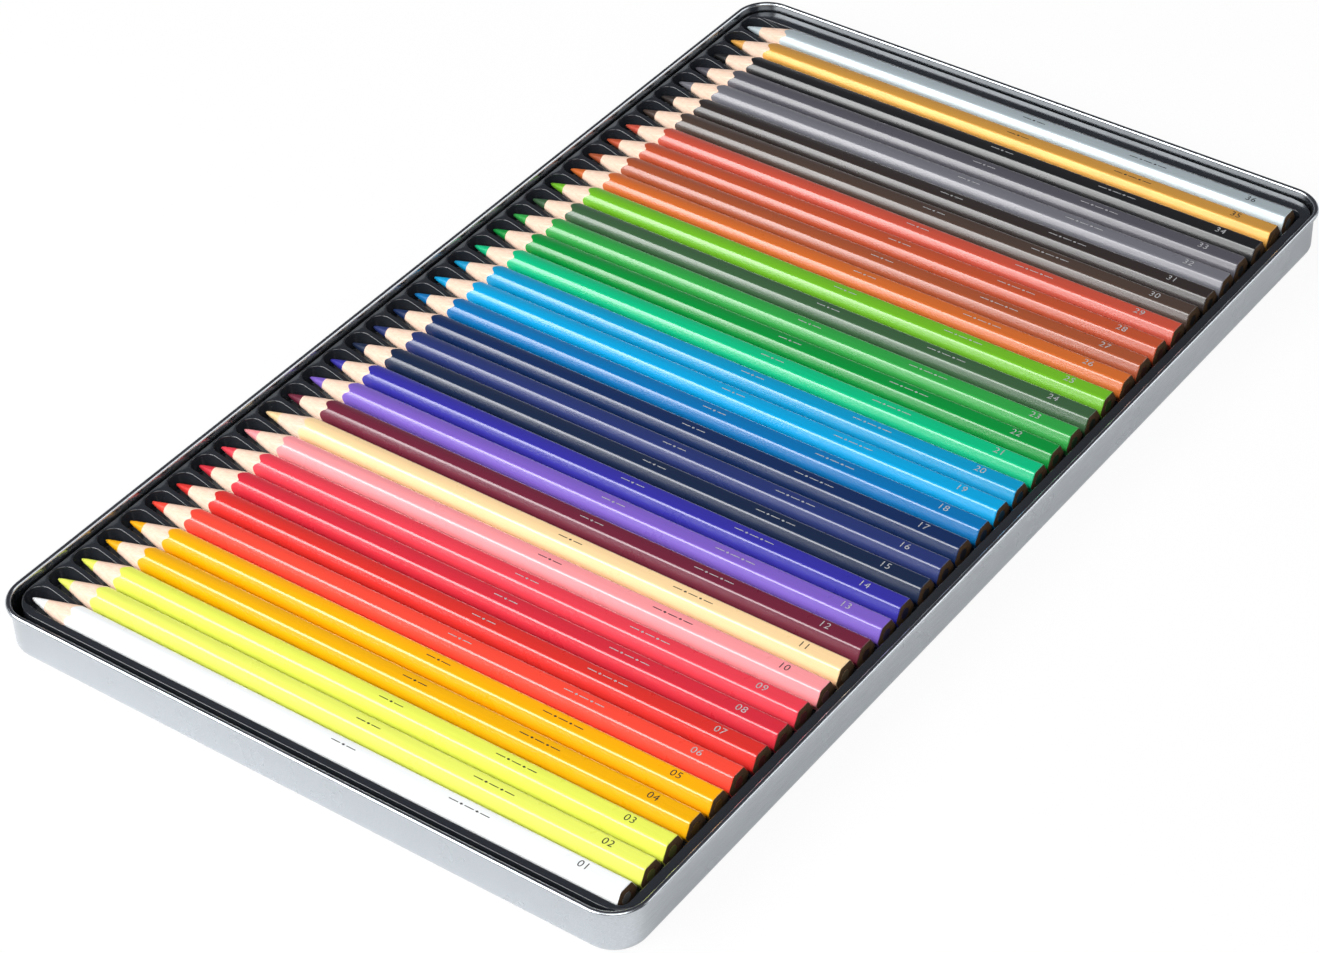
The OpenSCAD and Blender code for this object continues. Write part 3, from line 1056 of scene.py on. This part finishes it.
# %% [markdown]
# ## The studio
# The tin stands on a white sweep. A large soft box stands behind it on the left, so the slopes of the
# pencils that face it carry a bright band and the flats on top stay deep. A second one fills from the
# front left, a weaker third one lights the lips that face right, and a dim room fills the rest. The
# floor is nearly white by itself where the camera sees it, and keeps a trace of the tin's soft
# shadow. Shiny surfaces see only a little of that white.

# %% Lay the floor
FLOOR_SIZE = 12.0
WHITE_TO_CAMERA = 0.93
WHITE_TO_MIRRORS = 0.18


def floor_material():
    material, tree, shader, where = new_material("sweep", Specular_IOR_Level=0.1, Roughness=0.9)
    paper = use_group(tree, SOFT_WEAR, {"Scale": 6.0, "Low": 0.0, "High": 1.0}, {"Vector": where})
    tree.links.new(colour_mix(tree, paper.outputs["Value"], paint_colour("EEEEEE"),
                              paint_colour("F4F4F4")), shader.inputs["Base Color"])
    seen = tree.nodes.new("ShaderNodeLightPath")
    mirrored = place(tree, "ShaderNodeMath", links={0: seen.outputs["Is Glossy Ray"],
                                                    1: seen.outputs["Is Transmission Ray"]},
                     operation="ADD")
    mirrored = place(tree, "ShaderNodeMath", {1: WHITE_TO_MIRRORS}, {0: mirrored.outputs[0]},
                     operation="MULTIPLY")
    share = place(tree, "ShaderNodeMath", {1: WHITE_TO_CAMERA},
                  {0: seen.outputs["Is Camera Ray"], 2: mirrored.outputs[0]},
                  operation="MULTIPLY_ADD", use_clamp=True)
    white = place(tree, "ShaderNodeEmission", {"Color": (1, 1, 1, 1), "Strength": 1.0})
    mixed = place(tree, "ShaderNodeMixShader", links={0: share.outputs[0], 1: shader.outputs[0],
                                                      2: white.outputs[0]})
    tree.links.new(mixed.outputs[0], tree.nodes["Material Output"].inputs["Surface"])
    return material


sweep_shape = Shape()
half_floor = FLOOR_SIZE / 2
sweep_shape.face(sweep_shape.row([(-half_floor, -half_floor, 0), (half_floor, -half_floor, 0),
                                  (half_floor, half_floor, 0), (-half_floor, half_floor, 0)]))
studio_floor = sweep_shape.piece("studio_floor", [floor_material()], flat=True)

# %% Light it


def soft_box(name, direction, distance, width, height, radiance):
    """An area lamp that faces the tin, given by the brightness that a mirror would show."""
    lamp = bpy.data.lights.new(name, "AREA")
    lamp.shape = "RECTANGLE"
    lamp.size = width
    lamp.size_y = height
    lamp.energy = radiance * math.pi * width * height
    holder = bpy.data.objects.new(name, lamp)
    way = Vector(direction).normalized()
    holder.location = way * distance
    holder.rotation_euler = way.to_track_quat("Z", "Y").to_euler()
    bpy.context.scene.collection.objects.link(holder)
    return holder


soft_box("left_soft_box", (-0.68, 0.43, 0.60), distance=1.6, width=1.5, height=0.86, radiance=8.4)
soft_box("front_fill", (-0.55, -0.50, 0.75), distance=2.0, width=1.4, height=1.4, radiance=3.1)
soft_box("right_fill", (0.62, -0.64, 0.46), distance=1.8, width=1.2, height=0.9, radiance=1.9)

ROOM_LOW = (0.55, 0.56, 0.58, 1)
ROOM_HIGH = (0.06, 0.06, 0.07, 1)


def room():
    """A dim room: pale near the floor and dark above, so that the flats have little to mirror."""
    world = bpy.data.worlds.new("room")
    bpy.context.scene.world = world
    world.use_nodes = True
    tree = world.node_tree
    where = tree.nodes.new("ShaderNodeTexCoord")
    height = place(tree, "ShaderNodeSeparateXYZ", links={0: where.outputs["Generated"]})
    low = place(tree, "ShaderNodeMapRange", {"From Min": 0.02, "From Max": 0.30},
                {"Value": height.outputs["Z"]})
    colour = colour_mix(tree, low.outputs[0], ROOM_LOW, ROOM_HIGH)
    tree.links.new(colour, tree.nodes["Background"].inputs["Color"])


room()
